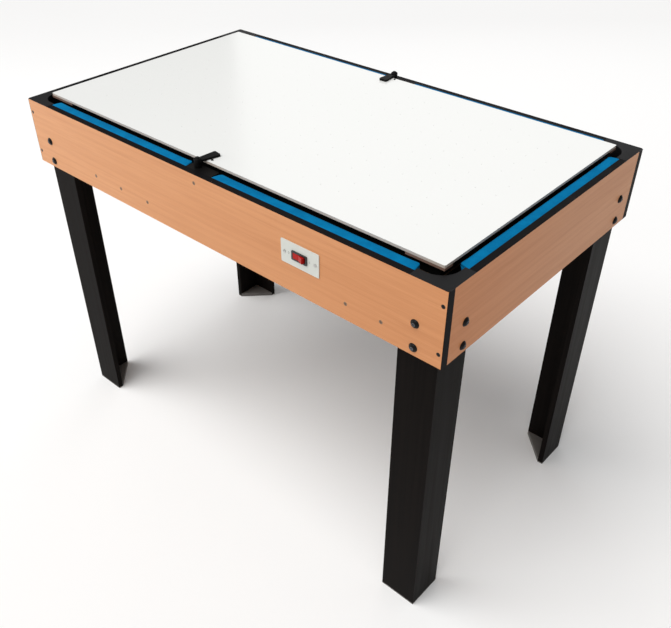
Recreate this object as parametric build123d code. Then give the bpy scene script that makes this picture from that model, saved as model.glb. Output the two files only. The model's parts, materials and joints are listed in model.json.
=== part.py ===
from build123d import *
import os
import math

# Home air hockey table: a cabinet of four aprons on four L-section legs, a nested air box with a
# perforated white playing panel, felt cushions, swivel clips, a rocker switch and an axial blower.
# Frame: +X along the long side, front long side at -Y, +Z up, origin on the floor at the centre.
# All sizes in millimetres.

os.makedirs("parts", exist_ok=True)

# ---- driving dimensions -------------------------------------------------------------------
L = 1070.0            # outer length of the cabinet
B = 610.0             # outer width of the cabinet
Z_WOOD = 770.0        # top edge of the aprons
TRIM_T = 1.0          # thickness of the black edge strips
Z_RIM = Z_WOOD + TRIM_T
APRON_H = 140.0
APRON_T = 15.0
Z_SKIRT = Z_WOOD - APRON_H
TRIM_W = 12.5         # visible width of the black top strip
LEG_W = 77.0          # outer width of each face of the L-section leg
LEG_T = 12.0          # thickness of a leg board
FOOT_T = 3.0
FOOT_WEB = 10.0       # height of the three-cornered web inside the angle of a foot
BED_T = 9.0
Z_BED = 738.0         # top of the bed panel
POCKET_X = 69.0       # reach of a corner moulding along the long side, from the outer face
POCKET_Y = 67.0       # reach of a corner moulding along the short side
POCKET_WALL = 4.0
POCKET_R = 36.0       # inner corner radius of the pocket opening
MID_X = -6.0          # centre of the middle blocks
MID_HALF = 33.0       # half length of a middle block
CUSHION_W = 22.2      # width of a long cushion from the top strip to its nose
CUSHION_END_W = 20.2  # width of an end cushion
CUSHION_LOW = 745.0
MITRE_CORNER = 4.0
MITRE_MID = 5.0
BOARD_X, BOARD_Y = 1000.0, 534.0
BOARD_TOP = 780.5
PANEL_T = 5.0
PAD_T = 4.5
BOX_X, BOX_Y = 960.0, 494.0     # air box under the panel
BOX_WALL = 12.0
FLOOR_T = 3.0
HOLE_PITCH = 40.0
HOLE_NX, HOLE_NY = 23, 11
HOLE_R = 0.6
BOLT_X = 482.0        # leg bolts, long faces
BOLT_Y = 251.0        # leg bolts, short faces
BOLT_Z = (644.5, 689.5)
BOLT_R = 3.0
CORNER_SCREW_X = 527.5
CORNER_SCREW_Z = (655.5, 742.5)
CLEAT_SCREW_X = (-325.0, -241.0, -157.0, 347.0, 419.0)
CLEAT_SCREW_Z = 661.0
BLOCK_SCREW_Z = 753.0
SWITCH_X, SWITCH_Z = 250.0, 707.0
PLATE_W, PLATE_H, PLATE_T = 84.0, 44.0, 1.5
BEZEL_W, BEZEL_H, BEZEL_T = 34.0, 17.0, 2.0
ROCKER_TILT = 12.0    # degrees each side of level
DUCT_R = 52.0
CLIP_X = -20.0        # swivel clip's axis
CLIP_Y = 280.0
CLIP_R = 7.0          # hub radius
ARM_LEN = 43.0        # from the axis to the arm's tip
ARM_ROOT, ARM_TIP = 12.6, 18.6   # arm width near the hub and at the tip
ARM_TURN = {"front": 8.5, "back": 2.0}  # how far each arm leans towards its stop screw, degrees
ARM_Z0, ARM_Z1 = 781.2, 785.2
HUB_TOP = 788.0
STOP_X = -5.0
STOP_Y = {-1: 259.0, 1: 262.0}

XO, YO = L / 2, B / 2
XI, YI = XO - APRON_T, YO - APRON_T       # inner faces of the aprons
YT = YO - TRIM_W                          # inner edge of the top strip, long sides
XT = XO - TRIM_W
YN = YT - CUSHION_W                       # nose of the long cushions
XN = XT - CUSHION_END_W
XC = XO - POCKET_X                        # long cushions end here at the corners
YC = YO - POCKET_Y


def box(x0, x1, y0, y1, z0, z1):
    return Pos((x0 + x1) / 2, (y0 + y1) / 2, (z0 + z1) / 2) * Box(abs(x1 - x0), abs(y1 - y0), abs(z1 - z0))


def rod(p, d, r, length):
    # cylinder of radius r that starts at p and runs along unit direction d
    return Solid.make_cylinder(r, length, Plane(origin=p, z_dir=d))


def cone(p, d, r0, r1, length):
    return Solid.make_cone(r0, r1, length, Plane(origin=p, z_dir=d))


def screw(p, d, length, r=1.9, head_r=3.6, head_h=2.0, grow=0.0, recess=True):
    # countersunk screw whose flat head lies at p and whose shank runs along d
    s = cone(p, d, head_r + grow, r + grow, head_h)
    s = s.fuse(rod(p, d, r + grow, length))
    if recess and grow == 0.0:
        pl = Plane(origin=p, z_dir=d)
        for w, h in ((3.6, 0.8), (0.8, 3.6)):
            s = s.cut(pl.location * Pos(0, 0, 0.55) * Box(w, h, 1.2))
    return s


def save(name, shape):
    shape = shape if isinstance(shape, Compound) else Compound(children=[shape]) if False else shape
    export_step(shape, f"parts/{name}.step")


def group(solids):
    out = []
    for s in solids:
        out.extend(s.solids() if hasattr(s, "solids") else [s])
    return Compound(children=out)


def minus(shape, cutters):
    for c in cutters:
        shape = shape - c
    return shape


def mirror_x(s):
    return s.mirror(Plane.YZ)


def mirror_y(s):
    return s.mirror(Plane.XZ)


FRONT, BACK = (0, 1, 0), (0, -1, 0)       # directions into the cabinet from each long face

# ---- fasteners ----------------------------------------------------------------------------
corner_spots = []                          # (point, direction)
for sx in (-1, 1):
    for z in CORNER_SCREW_Z:
        corner_spots.append(((sx * CORNER_SCREW_X, -YO, z), FRONT))
        corner_spots.append(((sx * CORNER_SCREW_X, YO, z), BACK))
CORNER_SCREW_LEN = 40.0
corner_screws = [screw(p, d, CORNER_SCREW_LEN) for p, d in corner_spots]
corner_cut = [screw(p, d, CORNER_SCREW_LEN + 0.3, grow=0.1) for p, d in corner_spots]

cleat_spots = [((x, -YO, CLEAT_SCREW_Z), FRONT) for x in CLEAT_SCREW_X]
cleat_spots += [((x, YO, CLEAT_SCREW_Z), BACK) for x in (-325.0, -157.0, 0.0, 157.0, 347.0)]
block_spots = [((MID_X, -YO, BLOCK_SCREW_Z), FRONT), ((MID_X, YO, BLOCK_SCREW_Z), BACK)]
SHORT_LEN = 30.0
bottom_spots = [((x, sy * 280.0, 647.0), (0, 0, 1)) for x, sy in
                ((-340, -1), (-142, -1), (330, -1), (420, -1), (-380, 1), (-190, 1), (60, 1), (380, 1))]
BOTTOM_LEN = 18.0
flange_spots = [((63.5 * math.cos(math.radians(a)), 63.5 * math.sin(math.radians(a)), 725.0), (0, 0, 1))
                for a in (45, 135, 225, 315)]
FLANGE_LEN = 10.0
short_screws = [screw(p, d, SHORT_LEN) for p, d in cleat_spots + block_spots]
short_screws += [screw(p, d, BOTTOM_LEN, r=1.6, head_r=3.2) for p, d in bottom_spots]
short_screws += [screw(p, d, FLANGE_LEN, r=1.6, head_r=3.2) for p, d in flange_spots]
cleat_cut = [screw(p, d, SHORT_LEN + 0.3, grow=0.1) for p, d in cleat_spots]
block_cut = [screw(p, d, SHORT_LEN + 0.3, grow=0.1) for p, d in block_spots]
bottom_cut = [screw(p, d, BOTTOM_LEN + 0.3, r=1.6, head_r=3.2, grow=0.1) for p, d in bottom_spots]
flange_cut = [screw(p, d, FLANGE_LEN + 0.3, r=1.6, head_r=3.2, grow=0.1) for p, d in flange_spots]
save("corner_screws", group(corner_screws))
save("short_screws", group(short_screws))


def leg_bolt(p, d):
    # domed cap on a plain shank with a hexagon socket in the dome
    pl = Plane(origin=p, z_dir=d)
    cap_r, cap_h = 8.0, 4.6
    big = (cap_r ** 2 + cap_h ** 2) / (2 * cap_h)
    ball = Solid.make_sphere(big, Plane(origin=(0, 0, big - cap_h)))
    keep = Pos(0, 0, -cap_h / 2) * Box(40, 40, cap_h)
    dome = (ball & keep)
    body = dome + Pos(0, 0, 16.5) * Cylinder(BOLT_R, 33.0)
    body -= Pos(0, 0, -cap_h + 1.25) * extrude(RegularPolygon(2.3, 6), 1.25, both=True)
    return pl.location * body


def leg_nut(p, d):
    pl = Plane(origin=p, z_dir=d)
    n = extrude(RegularPolygon(5.75, 6), 5.0) - Pos(0, 0, 2.5) * Cylinder(BOLT_R + 0.05, 6.0)
    return pl.location * n


bolt_spots = []
for sx in (-1, 1):
    for z in BOLT_Z:
        bolt_spots += [((sx * BOLT_X, -YO, z), (0, 1, 0)), ((sx * BOLT_X, YO, z), (0, -1, 0))]
for sy in (-1, 1):
    for z in BOLT_Z:
        bolt_spots += [((-XO, sy * BOLT_Y, z), (1, 0, 0)), ((XO, sy * BOLT_Y, z), (-1, 0, 0))]
save("leg_bolts", group([leg_bolt(p, d) for p, d in bolt_spots]))
nut_off = APRON_T + LEG_T
save("leg_nuts", group([leg_nut(tuple(p[i] + d[i] * nut_off for i in range(3)), d) for p, d in bolt_spots]))
bolt_cut = [rod(tuple(p[i] - d[i] for i in range(3)), d, BOLT_R + 0.2, 40.0) for p, d in bolt_spots]

# ---- cabinet aprons -----------------------------------------------------------------------
switch_cut = box(SWITCH_X - 15.7, SWITCH_X + 15.7, -YO - 5, -YI + 5, SWITCH_Z - 7.7, SWITCH_Z + 7.7)
inlet_cut = box(SWITCH_X - 12.2, SWITCH_X + 12.2, YI - 5, YO + 5, SWITCH_Z - 8.2, SWITCH_Z + 8.2)
plate_spots = [((SWITCH_X + s * 34.0, -YO - PLATE_T, SWITCH_Z), FRONT) for s in (-1, 1)]
plate_cut = [rod(p, d, 1.3, 14.5) for p, d in plate_spots]

front = box(-XO + TRIM_T, XO - TRIM_T, -YO, -YI, Z_SKIRT, Z_WOOD)
front = minus(front, [c for c in corner_cut + cleat_cut + block_cut + bolt_cut if c.bounding_box().min.Y < -YI])
front = minus(front, [switch_cut] + plate_cut)
save("apron_front", front)
back = box(-XO + TRIM_T, XO - TRIM_T, YI, YO, Z_SKIRT, Z_WOOD)
back = minus(back, [c for c in corner_cut + cleat_cut + block_cut + bolt_cut if c.bounding_box().max.Y > YI])
back = minus(back, [inlet_cut])
save("apron_back", back)
for name, s in (("apron_right", 1), ("apron_left", -1)):
    a = box(min(s * XI, s * XO), max(s * XI, s * XO), -YI, YI, Z_SKIRT, Z_WOOD)
    a = minus(a, [c for c in corner_cut + bolt_cut if c.bounding_box().max.X * s > XI - 5 or c.bounding_box().min.X * s > XI - 5])
    save(name, a)

# black bands on the four end grains of the long aprons
save("end_edging", group([box(min(sx * XO, sx * (XO - TRIM_T)), max(sx * XO, sx * (XO - TRIM_T)),
                              min(sy * YI, sy * YO), max(sy * YI, sy * YO), Z_SKIRT, Z_WOOD)
                          for sx in (-1, 1) for sy in (-1, 1)]))

# ---- black top strips, corner mouldings and middle blocks ---------------------------------
save("top_trim_front", box(-XC, XC, -YO, -YT, Z_WOOD, Z_RIM))
save("top_trim_back", box(-XC, XC, YT, YO, Z_WOOD, Z_RIM))
save("top_trim_right", box(XT, XO, -YC, YC, Z_WOOD, Z_RIM))
save("top_trim_left", box(-XO, -XT, -YC, YC, Z_WOOD, Z_RIM))


def corner_moulding():
    # front right corner: wall round the pocket, floor, and a thin flange over the apron tops
    z0 = Z_BED
    outer = box(XC, XI, -YI, -YC, z0, Z_RIM)
    vx, vy = XI - POCKET_WALL, -(YI - POCKET_WALL)
    void = box(XC - 60, vx, vy, -YC + 60, z0 + 2.0, Z_RIM + 5)
    edge = [e for e in void.edges().filter_by(Axis.Z) if abs(e.center().X - vx) < 0.1 and abs(e.center().Y - vy) < 0.1]
    void = fillet(edge, POCKET_R)
    m = outer - void
    m -= box(XC - 5, BOX_X / 2 + 2, -(BOX_Y / 2 + 2), -YC + 5, z0 - 1, Z_RIM + 5)
    flange = box(XC, XO, -YO, -YI, Z_WOOD, Z_RIM) + box(XI, XO, -YO, -YC, Z_WOOD, Z_RIM)
    fe = [e for e in flange.edges().filter_by(Axis.Z) if abs(e.center().X - XO) < 0.1 and abs(e.center().Y + YO) < 0.1]
    flange = fillet(fe, 4.0)
    m = m + flange
    return m


cm = corner_moulding()
save("corner_pocket_front_right", cm)
save("corner_pocket_front_left", mirror_x(cm))
save("corner_pocket_back_right", mirror_y(cm))
save("corner_pocket_back_left", mirror_x(mirror_y(cm)))


def mid_block():
    x0, x1 = MID_X - MID_HALF, MID_X + MID_HALF
    b = box(x0, x1, -YI, -YN, Z_BED, Z_RIM)
    b = fillet([e for e in b.edges().filter_by(Axis.Z) if e.center().Y > -YN - 0.1], 6.0)
    b = b + box(x0, x1, -YT, -YI, Z_WOOD, Z_RIM)
    b = b - rod((CLIP_X, -CLIP_Y, Z_RIM + 1), (0, 0, -1), 2.1, 15.5)
    b = b - block_cut[0]
    return b


mb = mid_block()
save("middle_block_front", mb)
save("middle_block_back", mirror_y(mb))

# ---- cushions -----------------------------------------------------------------------------


def cushion_long(x0, x1, m0, m1, width=CUSHION_W):
    # front side cushion from x0 to x1; m0, m1 are the mitres taken off the nose at each end
    y_lip, y_in, y_nose = -YT, -YI, -YT + width
    prof = Polyline([(y_lip, Z_WOOD), (y_lip, Z_RIM)]) + ThreePointArc(
        (y_lip, Z_RIM), ((y_lip + y_nose) / 2, Z_RIM + 0.9), (y_nose - 2.5, Z_RIM - 1.2)) + ThreePointArc(
        (y_nose - 2.5, Z_RIM - 1.2), (y_nose - 0.35, Z_RIM - 3.6), (y_nose - 0.6, Z_RIM - 7.0)) + Polyline(
        [(y_nose - 0.6, Z_RIM - 7.0), (y_nose - 6.0, CUSHION_LOW + 3.0), (y_in, CUSHION_LOW), (y_in, Z_WOOD), (y_lip, Z_WOOD)])
    face = make_face(prof)
    s = Plane(origin=(x0, 0, 0), x_dir=(0, 1, 0), z_dir=(1, 0, 0)).location * extrude(face, x1 - x0)
    # mitred ends: the nose is shorter than the back
    depth = width
    t0 = Polyline([(x0, y_lip - 1), (x0 + m0 * (1 + 1 / depth) + 0.0, y_nose + 1), (x0 - 5, y_nose + 1), (x0 - 5, y_lip - 1), (x0, y_lip - 1)])
    t1 = Polyline([(x1, y_lip - 1), (x1 - m1 * (1 + 1 / depth) - 0.0, y_nose + 1), (x1 + 5, y_nose + 1), (x1 + 5, y_lip - 1), (x1, y_lip - 1)])
    for t in (t0, t1):
        s = s - Pos(0, 0, CUSHION_LOW - 5) * extrude(make_face(t), 60)
    return s


cr = cushion_long(MID_X + MID_HALF, XC, MITRE_MID, MITRE_CORNER)
cf = cushion_long(-XC, MID_X - MID_HALF, MITRE_CORNER, MITRE_MID)
save("cushion_front_right", cr)
save("cushion_front_left", cf)
save("cushion_back_right", mirror_y(cr))
save("cushion_back_left", mirror_y(cf))


def cushion_end():
    # short side cushion: same section, turned a quarter turn about Z
    s = cushion_long(-YC, YC, MITRE_CORNER, MITRE_CORNER, CUSHION_END_W)
    s = Rot(0, 0, 90) * s                  # front (-Y) becomes right (+X)
    shift = XO - YO
    return Pos(shift, 0, 0) * s


ce = cushion_end()
save("cushion_right", ce)
save("cushion_left", mirror_x(ce))

# ---- bed, battens, cleats and bottom panel ------------------------------------------------
bed = box(-XI + 0.5, XI - 0.5, -YI + 0.5, YI - 0.5, Z_BED - BED_T, Z_BED)
bed -= Pos(0, 0, Z_BED - 5) * Cylinder(DUCT_R, 30)
bed -= Pos(0, 0, Z_BED - 1) * Cylinder(66.0, 2.0)
bed = minus(bed, flange_cut)
save("bed_panel", bed)
save("duct_gasket", Pos(0, 0, Z_BED - 1) * Cylinder(66.0, 2.0) - Pos(0, 0, Z_BED - 1) * Cylinder(DUCT_R, 4.0))
for name, sy in (("bed_batten_front", -1), ("bed_batten_back", 1)):
    b = box(-440, 440, min(sy * YI, sy * (YI - 18)), max(sy * YI, sy * (YI - 18)), Z_BED - BED_T - 18, Z_BED - BED_T)
    b -= box(SWITCH_X - 22, SWITCH_X + 22, sy * YI - 25, sy * YI + 25, Z_BED - BED_T - 20, SWITCH_Z + 11)
    save(name, b)

CL_Z0, CL_Z1 = 651.0, 671.0
cfl = minus(box(-360, -122, -YI, -YI + 20, CL_Z0, CL_Z1), cleat_cut + bottom_cut)
cfr = minus(box(312, 438, -YI, -YI + 20, CL_Z0, CL_Z1), cleat_cut + bottom_cut)
cbk = minus(box(-400, 400, YI - 20, YI, CL_Z0, CL_Z1), cleat_cut + bottom_cut)
save("cleat_front_left", cfl)
save("cleat_front_right", cfr)
save("cleat_back", cbk)
bp = box(-430, 430, -YI + 0.5, YI - 0.5, 647, 651) - Pos(0, 0, 649) * Cylinder(50, 10)
save("bottom_panel", minus(bp, bottom_cut))

# ---- legs ---------------------------------------------------------------------------------
Z_LEG = Z_BED - BED_T
wide = box(XI - LEG_W, XI, -YI, -YI + LEG_T, FOOT_T, Z_LEG)
narrow = box(XI - LEG_T, XI, -YI + LEG_T, -YI + LEG_W, FOOT_T, Z_LEG)
foot_pts = [(XI, -YI), (XI, -YI + LEG_W), (XI - LEG_T, -YI + LEG_W), (XI - LEG_W, -YI + LEG_T), (XI - LEG_W, -YI), (XI, -YI)]
web_pts = [(XI - LEG_T, -YI + LEG_T), (XI - LEG_T, -YI + LEG_W), (XI - LEG_W, -YI + LEG_T), (XI - LEG_T, -YI + LEG_T)]
foot = extrude(make_face(Polyline(foot_pts)), FOOT_T) + extrude(make_face(Polyline(web_pts)), FOOT_WEB)
fr_cut = [c for c, (p, d) in zip(bolt_cut, bolt_spots) if p[0] > 0 and p[1] < 0]
wide = minus(wide, fr_cut)
narrow = minus(narrow, fr_cut)
for tag, f in (("front_right", lambda s: s), ("front_left", mirror_x), ("back_right", mirror_y),
               ("back_left", lambda s: mirror_x(mirror_y(s)))):
    save(f"leg_{tag}_wide", f(wide))
    save(f"leg_{tag}_narrow", f(narrow))
save("leg_feet", group([foot, mirror_x(foot), mirror_y(foot), mirror_x(mirror_y(foot))]))

# ---- playing board ------------------------------------------------------------------------
panel_sk = RectangleRounded(BOARD_X, BOARD_Y, 3.0) - GridLocations(HOLE_PITCH, HOLE_PITCH, HOLE_NX, HOLE_NY) * Circle(HOLE_R)
panel = Pos(0, 0, BOARD_TOP - PANEL_T) * extrude(panel_sk, PANEL_T)
STOP = [((STOP_X, sy * STOP_Y[sy], BOARD_TOP), (0, 0, -1)) for sy in (-1, 1)]
panel = minus(panel, [rod(p, d, 1.5, 4.2) for p, d in STOP])
save("board_panel", panel)
bz0, bz1 = Z_BED + FLOOR_T, BOARD_TOP - PANEL_T
frame = box(-BOX_X / 2, BOX_X / 2, -BOX_Y / 2, BOX_Y / 2, bz0, bz1)
bx = [-BOX_X / 2 + BOX_WALL, -226, -214, 214, 226, BOX_X / 2 - BOX_WALL]
for x0, x1 in ((bx[0], bx[1]), (bx[2], bx[3]), (bx[4], bx[5])):
    frame -= box(x0, x1, -BOX_Y / 2 + BOX_WALL, BOX_Y / 2 - BOX_WALL, bz0 - 1, bz1 + 1)
for xc in (-220, 220):
    for yc in (-150, 0, 150):
        frame -= box(xc - 10, xc + 10, yc - 45, yc + 45, bz0 - 1, bz0 + 16)
save("board_frame", frame)
save("board_floor", box(-BOX_X / 2, BOX_X / 2, -BOX_Y / 2, BOX_Y / 2, Z_BED, Z_BED + FLOOR_T) - Pos(0, 0, Z_BED) * Cylinder(50, 20))
save("board_pads", group([box(min(sx * 429, sx * BOARD_X / 2), max(sx * 429, sx * BOARD_X / 2),
                              min(sy * BOARD_Y / 2, sy * BOX_Y / 2), max(sy * BOARD_Y / 2, sy * BOX_Y / 2),
                              bz1 - PAD_T, bz1) for sx in (-1, 1) for sy in (-1, 1)]))

# ---- swivel clips -------------------------------------------------------------------------


def clip(turn):
    # front clip: round hub on the middle block, flat arm that widens towards its rounded tip
    hub = Pos(0, 0, (Z_RIM + 0.3 + HUB_TOP) / 2) * Cylinder(CLIP_R, HUB_TOP - Z_RIM - 0.3)
    hub = fillet(hub.edges().sort_by(Axis.Z)[-1], 2.4)
    r, t = ARM_ROOT / 2, ARM_TIP / 2
    arm = extrude(make_face(Polyline([(-r, 0), (r, 0), (r, 6), (t, ARM_LEN), (-t, ARM_LEN), (-r, 6), (-r, 0)])), ARM_Z1 - ARM_Z0)
    arm = fillet([e for e in arm.edges().filter_by(Axis.Z) if e.center().Y > ARM_LEN - 0.1], 2.5)
    c = hub + Pos(0, 0, ARM_Z0) * arm
    c = c - rod((0, 0, Z_RIM - 5), (0, 0, 1), 2.05, 40)
    return Pos(CLIP_X, -CLIP_Y, 0) * Rot(0, 0, -turn) * c


save("clip_front", clip(ARM_TURN["front"]))
save("clip_back", mirror_y(clip(ARM_TURN["back"])))


def pan_screw(p, shank_r, shank_len, head_r, head_h):
    # round head above p, shank down from p
    head = rod(p, (0, 0, 1), head_r, head_h)
    head = fillet(head.edges().sort_by(Axis.Z)[-1], head_h * 0.6)
    s = head + rod(p, (0, 0, -1), shank_r, shank_len)
    top = (p[0], p[1], p[2] + head_h)
    for w, h in ((head_r * 1.1, 0.8), (0.8, head_r * 1.1)):
        s = s - Pos(*top) * Box(w, h, head_h)
    return s


cs = []
for sy in (-1, 1):
    cs.append(pan_screw((CLIP_X, sy * CLIP_Y, HUB_TOP + 0.1), 2.0, HUB_TOP + 0.1 - 757.0, 3.6, 1.8))
for p, d in STOP:
    cs.append(pan_screw(p, 1.4, 4.0, 2.3, 1.5))
save("clip_screws", group(cs))

# ---- switch -------------------------------------------------------------------------------
yp = -YO - PLATE_T
plate = box(SWITCH_X - PLATE_W / 2, SWITCH_X + PLATE_W / 2, yp, -YO, SWITCH_Z - PLATE_H / 2, SWITCH_Z + PLATE_H / 2)
plate = fillet(plate.edges().filter_by(Axis.Y), 2.0)
plate -= switch_cut
plate = minus(plate, [rod((p[0], p[1] - 1, p[2]), d, 1.7, 5) for p, d in plate_spots])
save("switch_plate", plate)
PIV_Y = -303.0
bzl = box(SWITCH_X - BEZEL_W / 2, SWITCH_X + BEZEL_W / 2, yp - BEZEL_T, yp, SWITCH_Z - BEZEL_H / 2, SWITCH_Z + BEZEL_H / 2)
bzl = fillet(bzl.edges().filter_by(Axis.Y), 1.5)
sbody = bzl + box(SWITCH_X - 15.5, SWITCH_X + 15.5, yp, -283, SWITCH_Z - 7.5, SWITCH_Z + 7.5)
sbody -= box(SWITCH_X - 14, SWITCH_X + 14, yp - 10, PIV_Y + 6, SWITCH_Z - 5.7, SWITCH_Z + 5.7)
sbody -= rod((SWITCH_X, PIV_Y, SWITCH_Z - 6.6), (0, 0, 1), 1.25, 13.2)
sbody += box(SWITCH_X - 9, SWITCH_X - 7, -283, -276, SWITCH_Z - 2.5, SWITCH_Z + 2.5)
sbody += box(SWITCH_X + 7, SWITCH_X + 9, -283, -276, SWITCH_Z - 2.5, SWITCH_Z + 2.5)
save("switch_body", sbody)


def rocker():
    # section in X and outward distance, extruded along Z; shown with its right half proud
    pts = [(-12, 8.2), (0, 5.8), (12, 8.2), (12, 2), (10, -3), (-10, -3), (-12, 2), (-12, 8.2)]
    a = math.radians(ROCKER_TILT)
    rot = [(x * math.cos(a) - d * math.sin(a), x * math.sin(a) + d * math.cos(a)) for x, d in pts]
    wire = Polyline([(SWITCH_X + x, PIV_Y - d) for x, d in rot])
    r = Pos(0, 0, SWITCH_Z - 5.3) * extrude(make_face(wire), 10.6)
    r += rod((SWITCH_X, PIV_Y, SWITCH_Z - 6.3), (0, 0, 1), 1.2, 12.6)
    return r


save("switch_rocker", rocker())
ps = []
for p, d in plate_spots:
    q = (p[0], p[1], p[2])
    s = rod((q[0], q[1] - 1.2, q[2]), d, 2.8, 1.2).fuse(rod(q, d, 1.2, 14.0))
    s = s.cut(Pos(q[0], q[1] - 1.2, q[2]) * Box(4.0, 1.2, 0.8))
    ps.append(s)
save("plate_screws", group(ps))

# ---- blower -------------------------------------------------------------------------------
hz0, hz1 = 668.0, Z_BED - BED_T
hous = Pos(0, 0, (hz0 + hz1) / 2) * Cylinder(DUCT_R + 3, hz1 - hz0) + Pos(0, 0, hz1 - 2) * Cylinder(72, 4)
hous -= Pos(0, 0, (hz0 + hz1) / 2) * Cylinder(DUCT_R, 100)
hous -= rod((40, 0, 684), (1, 0, 0), 3.0, 40)
hous = minus(hous, flange_cut)
save("blower_housing", hous)
gz = 664.0
guard = Pos(0, 0, gz + 2) * (Cylinder(DUCT_R + 3, 4) - Cylinder(DUCT_R - 5, 10))
guard += Pos(0, 0, gz + 2) * Cylinder(26, 4)
for r in (33.0, 41.0):
    guard += Pos(0, 0, gz + 1) * (Cylinder(r + 1, 2) - Cylinder(r - 1, 10))
for a in (0, 60, 120):
    guard += Rot(0, 0, a) * Pos(0, 0, gz + 1.5) * Box(2 * DUCT_R - 2, 3, 3)
save("blower_guard", guard)
motor = Pos(0, 0, 682) * Cylinder(25, 28) + Pos(0, 0, 698) * Cylinder(9, 4)
motor -= Pos(0, 0, 690) * Cylinder(2.05, 40)
motor += Pos(0, 0, 669) * Cylinder(10, 2)
save("blower_motor", motor)
save("blower_shaft", Pos(0, 0, 697) * Cylinder(2.0, 46))
imp = Pos(0, 0, 712) * Cylinder(14, 14)
for i in range(7):
    blade = Pos(29.5, 0, 0) * Rot(35, 0, 0) * Box(35, 26, 1.8)
    imp += Rot(0, 0, i * 360 / 7) * Pos(0, 0, 711.5) * blade
imp -= Pos(0, 0, 712) * Cylinder(2.04, 30)
save("blower_impeller", imp)

# ---- power inlet and inner wiring ---------------------------------------------------------
inl = box(SWITCH_X - 16, SWITCH_X + 16, YO, YO + 2.5, SWITCH_Z - 12, SWITCH_Z + 12)
inl = fillet(inl.edges().filter_by(Axis.Y), 3.0)
inl += box(SWITCH_X - 12, SWITCH_X + 12, 280, YO, SWITCH_Z - 8, SWITCH_Z + 8)
inl -= box(SWITCH_X - 8.5, SWITCH_X + 8.5, YO - 14, YO + 5, SWITCH_Z - 4.5, SWITCH_Z + 4.5)
for s in (-1, 1):
    inl += rod((SWITCH_X + s * 4.3, YO - 14.5, SWITCH_Z), (0, 1, 0), 1.15, 11.5)
save("power_inlet", inl)


def wire_solid(points, radii, r):
    # round lead: straight runs joined by tangent arcs
    w = FilletPolyline(*points, radius=radii)
    prof = Plane(origin=w @ 0, z_dir=w % 0) * Circle(r)
    return sweep(prof, path=w)


lead_a = wire_solid([(258, -275.5, 705), (258, -235, 705), (266, -190, 699), (268, 10, 696), (261, 215, 702), (256, 245, 705), (256, 279.5, 705)],
                    [20, 20, 60, 30, 15], 1.6)
lead_b = wire_solid([(242, -275.5, 705), (242, -240, 705), (215, -150, 694), (150, -40, 685), (110, 0, 684), (25.4, 0, 684)],
                    [20, 40, 30, 25], 1.6)
save("wiring", group([lead_a, lead_b]))
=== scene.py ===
import json
import math
import bpy
import bmesh
from mathutils import Matrix, Vector


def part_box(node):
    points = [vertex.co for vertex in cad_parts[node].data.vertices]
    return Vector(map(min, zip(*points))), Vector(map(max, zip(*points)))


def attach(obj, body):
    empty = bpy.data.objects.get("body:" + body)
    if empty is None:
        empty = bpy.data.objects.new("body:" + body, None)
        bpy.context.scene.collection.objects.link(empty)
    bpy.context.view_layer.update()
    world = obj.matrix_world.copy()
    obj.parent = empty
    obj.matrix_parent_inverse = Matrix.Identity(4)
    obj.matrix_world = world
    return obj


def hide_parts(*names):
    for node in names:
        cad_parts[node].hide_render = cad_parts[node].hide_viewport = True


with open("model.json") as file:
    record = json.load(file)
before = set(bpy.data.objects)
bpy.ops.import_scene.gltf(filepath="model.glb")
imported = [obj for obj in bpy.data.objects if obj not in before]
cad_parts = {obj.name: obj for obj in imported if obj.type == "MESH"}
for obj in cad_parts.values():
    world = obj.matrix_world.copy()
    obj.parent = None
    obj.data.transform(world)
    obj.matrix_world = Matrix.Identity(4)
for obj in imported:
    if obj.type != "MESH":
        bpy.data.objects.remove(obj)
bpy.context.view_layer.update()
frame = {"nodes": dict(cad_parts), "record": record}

N = frame["nodes"]
MM = 0.001

# ------------------------------------------------------------------ node helpers


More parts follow.
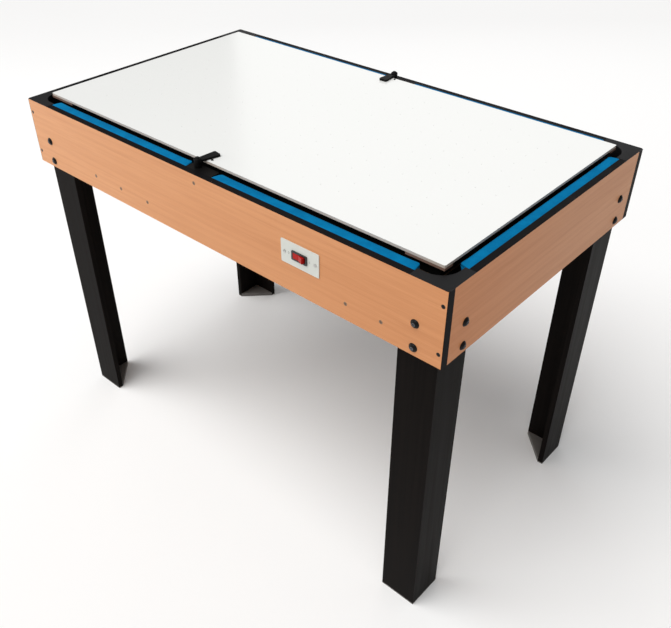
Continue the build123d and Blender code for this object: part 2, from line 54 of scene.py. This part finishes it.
class Tree:
    """Small helper round a material's node tree."""

    def __init__(self, name):
        self.mat = bpy.data.materials.new(name)
        self.mat.use_nodes = True
        self.nt = self.mat.node_tree
        self.nt.nodes.clear()
        self.out = self.nt.nodes.new("ShaderNodeOutputMaterial")
        self.bsdf = self.nt.nodes.new("ShaderNodeBsdfPrincipled")
        self.link(self.bsdf.outputs["BSDF"], self.out.inputs["Surface"])
        tc = self.nt.nodes.new("ShaderNodeTexCoord")
        self.co = tc.outputs["Object"]

    def link(self, a, b):
        self.nt.links.new(a, b)

    def put(self, sock, v):
        if isinstance(v, bpy.types.NodeSocket):
            self.link(v, sock)
        else:
            sock.default_value = v

    def mapped(self, scale, loc=(0, 0, 0), rot=(0, 0, 0), co=None):
        n = self.nt.nodes.new("ShaderNodeMapping")
        n.inputs["Scale"].default_value = scale
        n.inputs["Location"].default_value = loc
        n.inputs["Rotation"].default_value = rot
        self.link(co or self.co, n.inputs["Vector"])
        return n.outputs["Vector"]

    def noise(self, scale=(1, 1, 1), detail=3.0, rough=0.55, distort=0.0, loc=(0, 0, 0), co=None):
        n = self.nt.nodes.new("ShaderNodeTexNoise")
        n.inputs["Scale"].default_value = 1.0
        n.inputs["Detail"].default_value = detail
        n.inputs["Roughness"].default_value = rough
        n.inputs["Distortion"].default_value = distort
        self.link(self.mapped(scale, loc, co=co), n.inputs["Vector"])
        return n.outputs["Fac"]

    def voronoi(self, scale=(1, 1, 1), feature="F1", loc=(0, 0, 0)):
        n = self.nt.nodes.new("ShaderNodeTexVoronoi")
        n.feature = feature
        n.inputs["Scale"].default_value = 1.0
        self.link(self.mapped(scale, loc), n.inputs["Vector"])
        return n.outputs["Distance"]

    def ramp(self, fac, stops):
        n = self.nt.nodes.new("ShaderNodeValToRGB")
        els = n.color_ramp.elements
        while len(els) < len(stops):
            els.new(0.5)
        for e, (p, c) in zip(els, stops):
            e.position = p
            e.color = (c, c, c, 1) if isinstance(c, (int, float)) else (*c, 1)
        self.link(fac, n.inputs["Fac"])
        return n.outputs["Color"]

    def mix(self, fac, a, b, mode="MIX"):
        n = self.nt.nodes.new("ShaderNodeMix")
        n.data_type = "RGBA"
        n.blend_type = mode
        n.clamp_factor = True
        self.put(n.inputs[0], fac)
        for sock, v in ((n.inputs[6], a), (n.inputs[7], b)):
            self.put(sock, (*v, 1) if isinstance(v, tuple) and len(v) == 3 else v)
        return n.outputs[2]

    def math(self, op, a, b=0.0, c=0.0, clamp=False):
        n = self.nt.nodes.new("ShaderNodeMath")
        n.operation = op
        n.use_clamp = clamp
        for sock, v in zip(n.inputs, (a, b, c)):
            self.put(sock, v)
        return n.outputs[0]

    def range(self, v, a0, a1, b0, b1):
        n = self.nt.nodes.new("ShaderNodeMapRange")
        for k, x in zip(("Value", "From Min", "From Max", "To Min", "To Max"), (v, a0, a1, b0, b1)):
            self.put(n.inputs[k], x)
        return n.outputs[0]

    def xyz(self, v=None):
        n = self.nt.nodes.new("ShaderNodeSeparateXYZ")
        self.link(v or self.co, n.inputs[0])
        return n.outputs

    def normal(self):
        n = self.nt.nodes.new("ShaderNodeNewGeometry")
        return n.outputs["Normal"]

    def bump(self, height, strength=0.2, dist=0.0005, after=None):
        n = self.nt.nodes.new("ShaderNodeBump")
        n.inputs["Strength"].default_value = strength
        n.inputs["Distance"].default_value = dist
        self.link(height, n.inputs["Height"])
        if after is not None:
            self.link(after, n.inputs["Normal"])
        self.link(n.outputs["Normal"], self.bsdf.inputs["Normal"])
        return n.outputs["Normal"]

    def set(self, **kw):
        names = {"color": "Base Color", "rough": "Roughness", "metal": "Metallic", "spec": "Specular IOR Level",
                 "coat": "Coat Weight", "coat_rough": "Coat Roughness", "sheen": "Sheen Weight",
                 "sheen_rough": "Sheen Roughness", "sheen_tint": "Sheen Tint", "aniso": "Anisotropic", "ior": "IOR"}
        for k, v in kw.items():
            s = self.bsdf.inputs[names[k]]
            if k in ("color", "sheen_tint") and isinstance(v, tuple):
                v = (*v, 1) if len(v) == 3 else v
            self.put(s, v)
        return self


# ------------------------------------------------------------------ materials
GRAIN = (1, 1, 1)


def raw_colour(t, scale=1.0, a=(0.30, 0.19, 0.11), b=(0.42, 0.29, 0.18)):
    """Pressed wood fibre: fine mottling with a few darker fibres."""
    base = t.mix(t.noise((60, 60, 60), 4.0, 0.6), a, b)
    fib = t.ramp(t.noise((900, 900, 900), 2.0, 0.7), [(0.40, 0.0), (0.62, 1.0)])
    return t.mix(t.math("MULTIPLY", fib, 0.35), base, (a[0] * 0.55, a[1] * 0.5, a[2] * 0.45))


def make_beech():
    t = Tree("beech_foil")
    broad = t.noise((1.6, 1.6, 16.0), 3.0, 0.5, 0.6)
    streak = t.noise((3.5, 3.5, 130.0), 5.0, 0.62, 0.25)
    fine = t.noise((14.0, 14.0, 520.0), 3.0, 0.6)
    c = t.mix(t.ramp(broad, [(0.30, 0.0), (0.72, 1.0)]), (0.690, 0.305, 0.128), (0.760, 0.352, 0.158))
    c = t.mix(t.math("MULTIPLY", t.ramp(streak, [(0.42, 0.0), (0.68, 1.0)]), 0.42), c, (0.560, 0.222, 0.085))
    c = t.mix(t.math("MULTIPLY", t.ramp(fine, [(0.50, 0.0), (0.70, 1.0)]), 0.25), c, (0.820, 0.415, 0.205))
    fleck = t.ramp(t.voronoi((130, 130, 900)), [(0.055, 1.0), (0.13, 0.0)])
    keep = t.ramp(t.noise((40, 40, 200), 2.0), [(0.46, 0.0), (0.60, 1.0)])
    c = t.mix(t.math("MULTIPLY", t.math("MULTIPLY", fleck, keep), 0.42), c, (0.360, 0.140, 0.050))
    # foil on the outer faces only, bare fibre board elsewhere
    x, y, z = t.xyz()
    outer = t.math("MAXIMUM", t.math("GREATER_THAN", t.math("ABSOLUTE", x), 0.5338),
                   t.math("GREATER_THAN", t.math("ABSOLUTE", y), 0.3042))
    raw = raw_colour(t)
    # painted shade: the foil is painted darker and warmer towards the right end, and the short right side darker still
    # and more orange towards the front corner, standing in for how the light falls
    c = t.mix(t.range(x, -0.52, 0.45, 0.0, 1.0), t.mix(1.0, c, (0.93, 0.94, 0.92), "MULTIPLY"), t.mix(1.0, c, (0.86, 0.82, 0.77), "MULTIPLY"))
    short = t.math("GREATER_THAN", x, 0.5338)
    painted_shade_warm = t.mix(t.range(y, -0.30, 0.05, 0.0, 1.0), t.mix(1.0, c, (0.97, 0.84, 0.66), "MULTIPLY"), t.mix(1.0, c, (0.93, 0.93, 0.93), "MULTIPLY"))
    c = t.mix(short, c, painted_shade_warm)
    t.set(color=t.mix(outer, raw, c), rough=t.mix(outer, (0.85,) * 3, t.mix(streak, (0.38,) * 3, (0.50,) * 3)), spec=0.30)
    h = t.math("ADD", t.math("MULTIPLY", fine, 0.5), t.math("MULTIPLY", streak, 0.5))
    t.bump(h, 0.10, 0.0003)
    return t.mat


def make_raw(name="raw_board", a=(0.40, 0.265, 0.155), b=(0.53, 0.375, 0.235)):
    t = Tree(name)
    t.set(color=raw_colour(t, a=a, b=b), rough=0.88, spec=0.25)
    t.bump(t.noise((700, 700, 700), 4.0, 0.7), 0.35, 0.0003)
    return t.mat


def make_hardboard():
    t = Tree("hardboard")
    c = raw_colour(t, a=(0.22, 0.125, 0.065), b=(0.32, 0.19, 0.105))
    t.set(color=c, rough=t.range(t.noise((30, 30, 30), 3), 0.3, 0.7, 0.52, 0.7), spec=0.35)
    t.bump(t.noise((500, 500, 500), 3.0, 0.6), 0.2, 0.0002)
    return t.mat


def make_black_board():
    # near-black colour for the frame and bed in the gap under the playing board: partly a guessed black paint, partly
    # painted shade standing in for the deep shade in that gap
    t = Tree("black_board")
    n = t.noise((60, 60, 60), 3.0, 0.6)
    t.set(color=t.mix(n, (0.006, 0.006, 0.006), (0.014, 0.0135, 0.013)), rough=t.range(n, 0.3, 0.7, 0.75, 0.92), spec=0.12)
    t.bump(t.noise((700, 700, 700), 4.0, 0.7), 0.35, 0.0003)
    return t.mat


def make_bolt():
    """Black domed caps with a pale grey disc painted in the middle of each head as a painted highlight."""
    t = Tree("black_steel")
    x, y, z = t.xyz()
    dz = t.math("SUBTRACT", t.math("ABSOLUTE", t.math("SUBTRACT", z, 0.667)), 0.0225)
    d = []
    for v, c in ((x, 0.482), (y, 0.251)):
        a = t.math("SUBTRACT", t.math("ABSOLUTE", v), c)
        d.append(t.math("SQRT", t.math("ADD", t.math("MULTIPLY", a, a), t.math("MULTIPLY", dz, dz))))
    r = t.math("MINIMUM", d[0], d[1])
    # painted highlight: a pale grey disc of about 2 to 3.6 mm radius round each bolt's axis, on the black cap
    core = t.range(r, 0.0020, 0.0036, 1.0, 0.0)
    n1 = t.noise((500, 500, 500), 4.0, 0.6)
    n2 = t.noise((70, 70, 70), 3.0, 0.6)
    black = t.mix(n2, (0.0050, 0.0047, 0.0045), (0.0090, 0.0085, 0.0080))
    grey = t.mix(n2, (0.13, 0.13, 0.14), (0.20, 0.20, 0.215))
    t.set(color=t.mix(core, black, grey), rough=t.range(n1, 0.3, 0.7, 0.30, 0.44), spec=0.12)
    t.bump(n1, 0.05, 0.0002)
    return t.mat


def make_black_plastic(name, c0, c1, grain=1400, rough=(0.38, 0.52), bump=0.16, spec=0.11):
    t = Tree(name)
    n1 = t.noise((grain, grain, grain), 2.0, 0.55)
    n2 = t.noise((9, 9, 9), 3.0, 0.6)
    t.set(color=t.mix(n2, c0, c1), rough=t.range(n2, 0.3, 0.7, rough[0], rough[1]), spec=spec)
    t.bump(n1, bump, 0.00025)
    return t.mat


def make_edge_strip():
    t = Tree("black_edge")
    n2 = t.noise((9, 9, 9), 3.0, 0.6)
    line = t.noise((30, 30, 700), 2.0, 0.5)
    t.set(color=t.mix(n2, (0.0058, 0.0054, 0.0058), (0.0096, 0.0090, 0.0096)), rough=t.range(line, 0.3, 0.7, 0.36, 0.50), spec=0.02)
    t.bump(line, 0.06, 0.0002)
    return t.mat


def make_felt():
    t = Tree("blue_felt")
    cloud = t.noise((45, 45, 45), 3.0, 0.6)
    fibre = t.noise((900, 900, 900), 5.0, 0.75, 1.2)
    hair = t.noise((2600, 700, 2600), 3.0, 0.7, 2.0)
    c = t.mix(t.ramp(cloud, [(0.35, 0.0), (0.65, 1.0)]), (0.0006, 0.140, 0.330), (0.0012, 0.185, 0.415))
    c = t.mix(t.math("MULTIPLY", t.ramp(fibre, [(0.42, 0.0), (0.72, 1.0)]), 0.45), c, (0.004, 0.255, 0.520))
    c = t.mix(t.math("MULTIPLY", t.ramp(hair, [(0.30, 1.0), (0.48, 0.0)]), 0.35), c, (0.0, 0.070, 0.200))
    t.set(color=c, rough=0.95, spec=0.04, sheen=0.16, sheen_rough=0.45, sheen_tint=(0.08, 0.55, 1.0))
    b = t.bump(fibre, 0.55, 0.0004)
    t.bump(hair, 0.35, 0.0003, after=b)
    return t.mat


def make_laminate():
    t = Tree("white_laminate")
    nz = t.math("ABSOLUTE", t.xyz(t.normal())[2])
    x, y, z = t.xyz()
    soft = t.noise((3.0, 3.0, 3.0), 2.0, 0.5)
    top = t.mix(soft, (0.905, 0.915, 0.895), (0.925, 0.930, 0.915))
    # sawn edge: pale skin line on top of a warm grey core
    core = t.mix(t.noise((260, 260, 900), 4.0, 0.6), (0.50, 0.425, 0.36), (0.68, 0.60, 0.53))
    skin = t.ramp(z, [(0.0, 0.0), (1.0, 1.0)])
    lip = t.math("GREATER_THAN", z, 0.7798)
    edge = t.mix(t.math("MULTIPLY", lip, 0.75), core, (0.80, 0.79, 0.77))
    flat = t.math("GREATER_THAN", nz, 0.5)
    # the air holes' walls are pale, so that the holes hardly show
    inside = t.math("MULTIPLY", t.math("LESS_THAN", t.math("ABSOLUTE", x), 0.4985), t.math("LESS_THAN", t.math("ABSOLUTE", y), 0.2655))
    edge = t.mix(inside, edge, (0.86, 0.86, 0.84))
    t.set(color=t.mix(flat, edge, top), rough=t.mix(flat, (0.75,) * 3, t.mix(soft, (0.13,) * 3, (0.20,) * 3)), spec=0.5)
    t.bump(t.noise((900, 900, 900), 3.0, 0.6), 0.035, 0.0002)
    return t.mat


def make_leg():
    t = Tree("leg_foil")
    g = t.noise((130, 130, 3.0), 5.0, 0.6, 0.3)
    f = t.noise((600, 600, 12), 3.0, 0.6)
    c = t.mix(t.ramp(g, [(0.35, 0.0), (0.70, 1.0)]), (0.0046, 0.0036, 0.0032), (0.0084, 0.0064, 0.0056))
    t.set(color=c, rough=t.range(g, 0.3, 0.7, 0.34, 0.48), spec=0.022)
    t.bump(t.math("ADD", t.math("MULTIPLY", g, 0.6), t.math("MULTIPLY", f, 0.4)), 0.12, 0.0003)
    return t.mat


def make_metal(name, base, rough, metal=1.0, scale=(500, 500, 500), bump=0.05, spread=0.12):
    t = Tree(name)
    n1 = t.noise(scale, 4.0, 0.6)
    n2 = t.noise((70, 70, 70), 3.0, 0.6)
    dark = tuple(v * 0.72 for v in base)
    t.set(color=t.mix(n2, base, dark), rough=t.range(n1, 0.3, 0.7, rough, rough + spread), metal=metal)
    t.bump(n1, bump, 0.0002)
    return t.mat


def make_plastic(name, base, rough, spec=0.5, grain=1200, bump=0.05, vary=0.12):
    t = Tree(name)
    n1 = t.noise((grain, grain, grain), 3.0, 0.6)
    n2 = t.noise((25, 25, 25), 3.0, 0.6)
    lo = tuple(v * (1 - vary) for v in base)
    t.set(color=t.mix(n2, lo, base), rough=t.range(n2, 0.3, 0.7, rough, rough + 0.08), spec=spec)
    t.bump(n1, bump, 0.0002)
    return t.mat


def make_foam():
    t = Tree("foam_rubber")
    v = t.voronoi((700, 700, 700))
    t.set(color=t.mix(v, (0.015, 0.015, 0.015), (0.06, 0.06, 0.058)), rough=0.95, spec=0.2)
    t.bump(v, 0.6, 0.0006)
    return t.mat


MATS = {
    "beech_foil": make_beech(),
    "black_edge": make_edge_strip(),
    "black_plastic": make_black_plastic("black_plastic", (0.0085, 0.0085, 0.0092), (0.0140, 0.0135, 0.0145)),
    "block_plastic": make_black_plastic("block_plastic", (0.0040, 0.0038, 0.0038), (0.0075, 0.0070, 0.0070), spec=0.07),
    "blue_felt": make_felt(),
    "raw_board": make_raw(),
    "pad_board": make_raw("pad_board", (0.185, 0.105, 0.080), (0.270, 0.165, 0.125)),
    "black_board": make_black_board(),
    "leg_bolt": make_bolt(),
    "hardboard": make_hardboard(),
    "white_laminate": make_laminate(),
    "leg_foil": make_leg(),
    "foot_plastic": make_plastic("foot_plastic", (0.145, 0.135, 0.125), 0.55, 0.4),
    "black_steel": make_metal("black_steel", (0.030, 0.029, 0.028), 0.30, 0.85, spread=0.16),
    "screw_bronze": make_metal("screw_bronze", (0.30, 0.20, 0.13), 0.45, 0.55, spread=0.16),
    "zinc_steel": make_metal("zinc_steel", (0.62, 0.62, 0.60), 0.28, 1.0),
    "foam_rubber": make_foam(),
    "switch_grey": make_plastic("switch_grey", (0.63, 0.645, 0.60), 0.36, 0.4, vary=0.05),
    "switch_black": make_plastic("switch_black", (0.014, 0.014, 0.015), 0.30, 0.5),
    "rocker_red": make_plastic("rocker_red", (0.42, 0.006, 0.004), 0.26, 0.14, bump=0.01, vary=0.12),
    "motor_steel": make_metal("motor_steel", (0.50, 0.50, 0.50), 0.34, 1.0, scale=(60, 60, 900)),
    "impeller_plastic": make_plastic("impeller_plastic", (0.035, 0.036, 0.040), 0.42),
    "cable_jacket": make_plastic("cable_jacket", (0.012, 0.012, 0.012), 0.45),
    "mark_print": make_plastic("mark_print", (0.10, 0.10, 0.10), 0.5),
}
slot_of = {s["node"]: s["material_slot"] for s in frame["record"]["subparts"]}
for name, ob in N.items():
    key = slot_of.get(name, "black_plastic")
    if name == "short_screws":
        key = "screw_bronze"
    if name == "board_pads":
        key = "pad_board"
    if name == "leg_bolts":
        key = "leg_bolt"
    if name.startswith(("clip_front", "clip_back", "middle_block")):
        key = "block_plastic"
    ob.data.materials.clear()
    ob.data.materials.append(MATS[key])


def soften(node, width, segments=2, angle=35):
    """Small rounded arris on a CAD node."""
    ob = N[node]
    m = ob.modifiers.new("arris", "BEVEL")
    m.width = width * MM
    m.segments = segments
    m.limit_method = "ANGLE"
    m.angle_limit = math.radians(angle)
    m.harden_normals = False
    m.use_clamp_overlap = True
    w = ob.modifiers.new("normals", "WEIGHTED_NORMAL")
    w.keep_sharp = False
    w.weight = 80


# ------------------------------------------------------------------ mesh helpers


def new_object(name, verts, faces, mat, smooth=True):
    me = bpy.data.meshes.new(name)
    me.from_pydata([tuple(v) for v in verts], [], faces)
    me.validate()
    me.update()
    bm = bmesh.new()
    bm.from_mesh(me)
    bmesh.ops.recalc_face_normals(bm, faces=bm.faces)
    bm.to_mesh(me)
    bm.free()
    if smooth:
        me.polygons.foreach_set("use_smooth", [True] * len(me.polygons))
    ob = bpy.data.objects.new(name, me)
    bpy.context.scene.collection.objects.link(ob)
    me.materials.append(mat)
    return ob


# ------------------------------------------------------------------ felt cushions
def section(width):
    """Closed section of a cushion, (inward distance from the strip's edge, height), in mm."""
    k = width - 22.2
    pts = [(0.12, 770.12), (0.10, 770.85), (0.55, 771.10)]
    for i in range(1, 9):                      # crowned felt on top
        u = i / 9
        pts.append((0.55 + (18.4 + k) * u, 771.10 + 0.42 * math.sin(math.pi * (0.12 + 0.76 * u)) - 0.10 * u))
    for a in range(0, 8):                      # rounded nose
        t = math.radians(72 - a * 20)
        pts.append((k + 18.9 + 2.7 * math.cos(t), 768.3 + 2.7 * math.sin(t)))
    pts += [(k + 17.2, 760.0), (k + 14.4, 754.0), (k + 11.2, 749.6), (k * 0.5 + 7.5, 747.2), (3.2, 745.9)]
    pts += [(2.75, 746.6), (2.70, 752.0), (2.70, 757.0), (2.70, 762.0), (2.70, 766.0), (2.70, 769.3), (2.45, 770.08), (1.2, 770.10)]
    return pts


def wave(x, seed):
    s = 0.0
    for k, (f, a) in enumerate(((1.0, 0.5), (2.3, 0.28), (4.9, 0.15), (9.7, 0.07))):
        s += a * math.sin(x * f * 6.2832 + seed * (1.7 + k * 2.31) + k * 1.9)
    return s


def cushion(name, length, width, m0, m1, place, seed):
    """Felt-covered cushion along +X from 0 to length, inward along +Y; m0, m1 mitre the nose back."""
    sec = section(width)
    n = len(sec)
    ends = [0.0, 0.3, 0.8, 1.5, 2.5, 4.0, 6.2, 9.0]
    steps = int((length - 18) / 4.2)
    st = ends + [9.0 + (length - 18.0) * (i + 1) / (steps + 1) for i in range(steps)] + [length - e for e in reversed(ends)]
    verts, faces, pinned = [], [], []
    cy, cz, r_end, r_plan = 11.5, 760.0, 3.2, 5.0
    for x in st:
        d = min(x, length - x)
        tuck = 1.0 if d > r_end else math.sqrt(max(0.0, 1 - ((r_end - d) / r_end) ** 2))
        shrink = 1.0 - 0.13 * (1 - tuck)
        for (y, z) in sec:
            free = y > 3.0
            yy = cy + (y - cy) * shrink if free else y + 0.4 * (1 - tuck)
            zz = cz + (z - cz) * shrink
            if free:
                wav = wave(x / 190.0 + z * 0.004, seed)
                yy += 0.08 * wav
                zz += 0.10 * wav * (1 if z > 765 else 0.3)
            t = max(0.0, min(1.0, y / width))
            over = max(0.0, y - (width - r_plan)) / r_plan
            nose = r_plan * (1 - math.sqrt(max(0.0, 1 - min(1.0, over) ** 2))) * 0.8
            lo = m0 * t + nose
            hi = length - m1 * t - nose
            verts.append((lo + (hi - lo) * (x / length), yy, min(zz, 771.80)))
            pinned.append(not free)
    for i in range(len(st) - 1):
        for j in range(n):
            a, b = i * n + j, i * n + (j + 1) % n
            faces.append((a, b, b + n, a + n))
    for base, off in ((0, 0.25), ((len(st) - 1) * n, -0.25)):     # closed ends
        c = len(verts)
        ring = [verts[base + j] for j in range(n)]
        verts.append((sum(v[0] for v in ring) / n + off, sum(v[1] for v in ring) / n, sum(v[2] for v in ring) / n))
        pinned.append(True)
        for j in range(n):
            faces.append((base + j, base + (j + 1) % n, c))
    ob = new_object(name, [place(Vector(v)) * MM for v in verts], faces, MATS["blue_felt"])
    group = ob.vertex_groups.new(name="held")
    group.add([i for i, p in enumerate(pinned) if p], 1.0, "REPLACE")
    return ob


def puff(obs, frames=20, cap=0.7):
    """Blow the felt covers up a little, held along the strip, and keep the result as plain mesh."""
    scn = bpy.context.scene
    scn.frame_start, scn.frame_end = 1, frames
    scn.frame_set(1)
    before = {}
    for ob in obs:
        before[ob.name] = [v.co.copy() for v in ob.data.vertices]
        m = ob.modifiers.new("cloth", "CLOTH")
        st = m.settings
        st.quality = 6
        st.mass = 0.25
        st.tension_stiffness = st.compression_stiffness = 20
        st.shear_stiffness = 8
        st.bending_stiffness = 0.6
        st.use_pressure = True
        st.uniform_pressure_force = 4.0
        st.effector_weights.gravity = 0.0
        st.vertex_group_mass = "held"
        m.collision_settings.use_collision = False
        m.point_cache.frame_start, m.point_cache.frame_end = 1, frames
    for f in range(1, frames + 1):
        scn.frame_set(f)
    dg = bpy.context.evaluated_depsgraph_get()
    moved = {ob.name: [v.co.copy() for v in ob.evaluated_get(dg).data.vertices] for ob in obs}
    scn.frame_set(1)
    for ob in obs:
        ob.modifiers.remove(ob.modifiers["cloth"])
        far = 0.0
        for v, a, b in zip(ob.data.vertices, before[ob.name], moved[ob.name]):
            d = b - a
            far = max(far, d.length)
            if d.length > cap * MM:
                d = d.normalized() * cap * MM
            p = a + d
            p.z = min(p.z, 0.77190)
            v.co = p
        ob.data.update()
        print("puff", ob.name, "moved up to %.2f mm before the cap" % (far / MM))


GAP = 0.25
WIDE, SLIM = 22.2, 20.2
felts = []
for node in [n for n in N if n.startswith("cushion_")]:
    lo, hi = [[c / MM for c in v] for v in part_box(node)]
    seed = 1 + sorted(n for n in N if n.startswith("cushion_")).index(node)
    if "front" in node or "back" in node:
        y = -292.5 if "front" in node else 292.5
        sgn = 1 if "front" in node else -1
        corner, mid = (hi[0], lo[0]) if "right" in node else (lo[0], hi[0])
        sx = 1 if corner > mid else -1
        place = (lambda v, m=mid, sx=sx, y=y, g=sgn: Vector((m + sx * (GAP + v.x), y + g * v.y, v.z)))
        ob = cushion("felt_" + node, abs(corner - mid) - 2 * GAP, WIDE, 5.0, 4.0, place, seed)
    else:
        sx = 1 if "right" in node else -1
        place = (lambda v, y0=lo[1], sx=sx: Vector((sx * (522.5 - v.y), y0 + GAP + v.x, v.z)))
        ob = cushion("felt_" + node, hi[1] - lo[1] - 2 * GAP, SLIM, 4.0, 4.0, place, seed)
    felts.append((ob, node))
puff([ob for ob, _ in felts])
for ob, node in felts:
    sub = ob.modifiers.new("round", "SUBSURF")
    sub.levels = sub.render_levels = 1
    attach(ob, "table")
    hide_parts(node)

# ------------------------------------------------------------------ switch marks (ring and bar)


def ring_mark(name, x, z, r, w, y, depth):
    verts, faces = [], []
    seg = 40
    for k in range(seg):
        a = 2 * math.pi * k / seg
        for rr, yy in ((r - w, y), (r, y), (r, y + depth), (r - w, y + depth)):
            verts.append((x + rr * math.cos(a) * 0.82, yy, z + rr * math.sin(a)))
    for k in range(seg):
        for j in range(4):
            a, b = k * 4 + j, k * 4 + (j + 1) % 4
            c, d = ((k + 1) % seg) * 4 + (j + 1) % 4, ((k + 1) % seg) * 4 + j
            faces.append((a, b, c, d))
    return new_object(name, [Vector(v) * MM for v in verts], faces, MATS["mark_print"], smooth=False)


def bar_mark(name, x, z, w, h, y, depth):
    outline = []
    r = w / 2
    for k in range(9):
        a = math.pi * k / 8
        outline.append((x + r * math.cos(a), z + h / 2 - r + r * math.sin(a)))
    for k in range(9):
        a = math.pi + math.pi * k / 8
        outline.append((x + r * math.cos(a), z - h / 2 + r + r * math.sin(a)))
    n = len(outline)
    verts = [(px, y, pz) for px, pz in outline] + [(px, y + depth, pz) for px, pz in outline]
    faces = [tuple(range(n)), tuple(range(2 * n - 1, n - 1, -1))]
    faces += [(j, (j + 1) % n, n + (j + 1) % n, n + j) for j in range(n)]
    return new_object(name, [Vector(v) * MM for v in verts], faces, MATS["mark_print"], smooth=False)


face_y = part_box("switch_plate")[0][1] / MM
for ob in (ring_mark("switch_mark_off", 225.5, 707.0, 2.1, 0.5, face_y - 0.06, 0.2),
           bar_mark("switch_mark_on", 271.5, 707.0, 0.62, 4.2, face_y - 0.06, 0.2)):
    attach(ob, "table")

# ------------------------------------------------------------------ arrises on the CAD nodes
for node in ("apron_front", "apron_back", "apron_right", "apron_left"):
    soften(node, 0.35)
for node in N:
    if node.startswith("leg_") and (node.endswith("wide") or node.endswith("narrow")):
        soften(node, 0.6)
for node in ("switch_plate", "switch_rocker", "clip_front", "clip_back"):
    soften(node, 0.35, 3)
for a in ("front_right", "front_left", "back_right", "back_left"):
    soften("corner_pocket_" + a, 0.3, 2, 40)
for node in ("middle_block_front", "middle_block_back"):
    soften(node, 0.4, 2)
for node in ("top_trim_front", "top_trim_back", "top_trim_right", "top_trim_left"):
    soften(node, 0.3, 2)

# ------------------------------------------------------------------ stage, light, camera
floor_t = Tree("stage_floor")
floor_t.set(color=floor_t.mix(floor_t.noise((0.7, 0.7, 0.7), 2.0), (0.92, 0.92, 0.92), (0.94, 0.94, 0.94)), rough=0.9, spec=0.05)
floor = new_object("studio_floor", [(-14, -14, 0), (14, -14, 0), (14, 14, 0), (-14, 14, 0)], [(0, 1, 2, 3)], floor_t.mat, smooth=False)

world = bpy.data.worlds.new("studio")
bpy.context.scene.world = world
world.use_nodes = True
bg = world.node_tree.nodes["Background"]
bg.inputs["Color"].default_value = (0.985, 0.99, 1.0, 1)
bg.inputs["Strength"].default_value = 0.30

sun = bpy.data.objects.new("key", bpy.data.lights.new("key", "SUN"))
sun.data.energy = 2.45
sun.data.angle = math.radians(50)
sun.data.color = (1.0, 0.99, 0.975)
bpy.context.scene.collection.objects.link(sun)
to_light = Vector((-0.14, -0.42, 0.88)).normalized()
sun.rotation_mode = "QUATERNION"
sun.rotation_quaternion = to_light.to_track_quat("Z", "Y")


def softbox(name, at, toward, sx, sy, power):
    a = bpy.data.objects.new(name, bpy.data.lights.new(name, "AREA"))
    a.data.shape = "RECTANGLE"
    a.data.size, a.data.size_y = sx, sy
    a.data.energy = power
    a.location = at
    a.rotation_mode = "QUATERNION"
    a.rotation_quaternion = (Vector(at) - Vector(toward)).to_track_quat("Z", "Y")
    a.visible_camera = False
    bpy.context.scene.collection.objects.link(a)
    return a


softbox("side_soft", (-2.7, -1.9, 1.0), (-0.5, -0.3, 0.6), 2.0, 1.4, 26)
# upright panel behind the table: its soft reflection lies on the gloss of the board
softbox("back_soft", (-1.575, 2.904, 2.4), (-0.895, 2.171, 2.4), 2.56, 2.4, 13)

F_PX, CX, CY, W_PX, H_PX = 797.22, 318.01, 327.11, 671.0, 628.0
C = Vector((1012.49, -1087.19, 1402.58)) * MM
right = Vector((0.73843635, 0.67425125, -0.00984934)).normalized()
fwd = Vector((-0.53937656, 0.58183016, -0.60872537)).normalized()
down = fwd.cross(right).normalized()
cam_data = bpy.data.cameras.new("camera")
cam = bpy.data.objects.new("camera", cam_data)
bpy.context.scene.collection.objects.link(cam)
cam_data.sensor_fit = "HORIZONTAL"
cam_data.sensor_width = 36.0
cam_data.lens = F_PX * 36.0 / W_PX
cam_data.shift_x = (W_PX / 2 - CX) / W_PX
cam_data.shift_y = (CY - H_PX / 2) / W_PX
cam_data.clip_start, cam_data.clip_end = 0.05, 100
rot = Matrix((right, -down, -fwd)).transposed()
cam.matrix_world = Matrix.Translation(C) @ rot.to_4x4()
bpy.context.scene.camera = cam
bpy.context.scene.view_settings.view_transform = "Standard"
bpy.context.scene.view_settings.look = "None"
